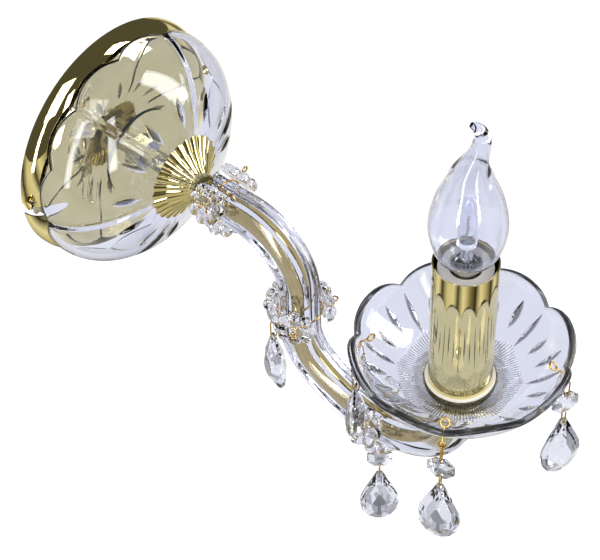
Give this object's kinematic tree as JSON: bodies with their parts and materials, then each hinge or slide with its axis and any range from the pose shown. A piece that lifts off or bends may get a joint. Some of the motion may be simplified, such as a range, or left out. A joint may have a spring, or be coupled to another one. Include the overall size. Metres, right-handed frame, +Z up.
{
  "type": "crystal wall sconce",
  "caption": "Candle wall light: brass canopy under a petalled glass bowl, S-shaped glass arm, scalloped glass dish with hanging crystals, brass candle sleeve and bent-tip bulb.",
  "frame": {"origin": "middle of the mounting face, on the wall plane", "axes": "+X to the right as the room sees the wall, +Y into the wall, +Z up; the arm reaches out along -Y"},
  "size_m": [0.1302, 0.272, 0.3092],
  "materials": {
    "polished_brass": "mirror polished pale brass plate",
    "brass_wire": "bright drawn wire",
    "brass_tube": "polished tube seen through glass",
    "clear_glass": "clear pressed glass, fire polished",
    "cut_crystal": "clear cut crystal, flat facets",
    "pressed_glass": "clear pressed glass",
    "bulb_glass": "thin clear blown glass",
    "steel": "zinc plated",
    "contact_brass": "bare stamped brass",
    "nickel_cap": "nickel plated",
    "white_plastic": "moulded, smooth",
    "black_glass": "dark vitrified insulator",
    "gasket": "pale soft pad",
    "brown_insulation": "wire insulation",
    "blue_insulation": "wire insulation",
    "earth_insulation": "wire insulation, green with yellow"
  },
  "bodies": {
    "sconce": {"arm_couplings": "polished_brass", "arm_glass_left": "clear_glass", "arm_glass_right": "clear_glass", "arm_tube": "brass_tube", "bobeche": "clear_glass", "bobeche_cup": "polished_brass", "bowl_gasket": "gasket", "candle_nipple": "steel", "candle_sleeve": "polished_brass", "canopy": "polished_brass", "canopy_screws": "polished_brass", "canopy_washer": "steel", "earth_screw": "steel", "earth_wire": "earth_insulation", "floret_wires": "brass_wire", "fluted_rosette": "polished_brass", "glass_bowl": "clear_glass", "hex_nuts": "steel", "holder_body": "white_plastic", "holder_contact": "contact_brass", "holder_screws": "steel", "holder_shell": "contact_brass", "live_wire": "brown_insulation", "low_florets": "pressed_glass", "mid_florets": "pressed_glass", "neutral_wire": "blue_insulation", "rim_pins": "brass_wire", "root_florets": "pressed_glass", "root_nipple": "steel", "sleeve_gasket": "gasket", "terminal_block": "white_plastic", "terminal_clamps": "contact_brass", "terminal_screws": "steel", "wall_bracket": "steel"},
    "rear_pendant": {"rear_pendant_links": "brass_wire", "rear_octagon": "cut_crystal"},
    "rear_drop_body": {"rear_drop": "cut_crystal"},
    "left_pendant": {"left_pendant_links": "brass_wire", "left_octagon": "cut_crystal"},
    "left_drop_body": {"left_drop": "cut_crystal"},
    "front_pendant": {"front_pendant_links": "brass_wire", "front_octagon": "cut_crystal"},
    "front_drop_body": {"front_drop": "cut_crystal"},
    "right_pendant": {"right_pendant_links": "brass_wire", "right_octagon": "cut_crystal"},
    "right_drop_body": {"right_drop": "cut_crystal"},
    "mid_pendant": {"mid_pendant_links": "brass_wire", "mid_octagon": "cut_crystal"},
    "mid_drop_body": {"mid_drop": "cut_crystal"},
    "low_pendant": {"low_pendant_links": "brass_wire", "low_octagon": "cut_crystal"},
    "low_drop_body": {"low_drop": "cut_crystal"},
    "bulb_tip": {"bulb_contact": "contact_brass"},
    "bulb": {"bulb_glass": "bulb_glass", "bulb_cap": "nickel_cap", "bulb_insulator": "black_glass", "bulb_mount": "steel", "halogen_capsule": "bulb_glass", "filament": "steel"}
  },
  "joints": [
    {"name": "rear_swing", "type": "hinge", "parent": "sconce", "child": "rear_pendant", "pos_m": [0.04343, -0.1972, -0.0125], "axis": [0.8854, 0.4648, 0], "range_deg": [-45, 45]},
    {"name": "rear_drop_swing", "type": "hinge", "parent": "rear_pendant", "child": "rear_drop_body", "pos_m": [0.04343, -0.1972, -0.0438], "axis": [0.8854, 0.4648, 0], "range_deg": [-45, 45]},
    {"name": "left_swing", "type": "hinge", "parent": "sconce", "child": "left_pendant", "pos_m": [-0.0228, -0.17657, -0.0125], "axis": [-0.4648, 0.8854, 0], "range_deg": [-3, 45]},
    {"name": "left_drop_swing", "type": "hinge", "parent": "left_pendant", "child": "left_drop_body", "pos_m": [-0.0228, -0.17657, -0.0438], "axis": [-0.4648, 0.8854, 0], "range_deg": [-4, 45]},
    {"name": "front_swing", "type": "hinge", "parent": "sconce", "child": "front_pendant", "pos_m": [-0.04343, -0.2428, -0.0125], "axis": [-0.8854, -0.4648, 0], "range_deg": [-45, 45]},
    {"name": "front_drop_swing", "type": "hinge", "parent": "front_pendant", "child": "front_drop_body", "pos_m": [-0.04343, -0.2428, -0.0438], "axis": [-0.9415, -0.3371, 0], "range_deg": [-45, 45]},
    {"name": "right_swing", "type": "hinge", "parent": "sconce", "child": "right_pendant", "pos_m": [0.0228, -0.26343, -0.0125], "axis": [0.4648, -0.8854, 0], "range_deg": [-45, 45]},
    {"name": "right_drop_swing", "type": "hinge", "parent": "right_pendant", "child": "right_drop_body", "pos_m": [0.0228, -0.26343, -0.0438], "axis": [-0.4741, -0.8805, 0], "range_deg": [-45, 45]},
    {"name": "mid_swing", "type": "hinge", "parent": "sconce", "child": "mid_pendant", "pos_m": [0, -0.10365, -0.045], "axis": [1, 0, 0], "range_deg": [-4, 45]},
    {"name": "mid_drop_swing", "type": "hinge", "parent": "mid_pendant", "child": "mid_drop_body", "pos_m": [0, -0.10365, -0.0801], "axis": [-0.9397, 0.342, 0], "range_deg": [-45, 45]},
    {"name": "low_swing", "type": "hinge", "parent": "sconce", "child": "low_pendant", "pos_m": [0, -0.173, -0.11125], "axis": [-0.891, -0.454, 0], "range_deg": [-45, 45]},
    {"name": "low_drop_swing", "type": "hinge", "parent": "low_pendant", "child": "low_drop_body", "pos_m": [0, -0.173, -0.13675], "axis": [-0.7431, -0.6691, 0], "range_deg": [-45, 45]},
    {"name": "bulb_lift", "type": "slide", "parent": "sconce", "child": "bulb_tip", "axis": [0, 0, 1], "range_m": [0, 0.01128]},
    {"name": "bulb_turn", "type": "hinge", "parent": "bulb_tip", "child": "bulb", "pos_m": [0, -0.22, 0.04], "axis": [0, 0, 1], "range_deg": [0, 1440]}
  ],
  "couplings": [
    {"joint": "bulb_lift", "follows": "bulb_turn", "m_per_rad": 0.00044882}
  ]
}
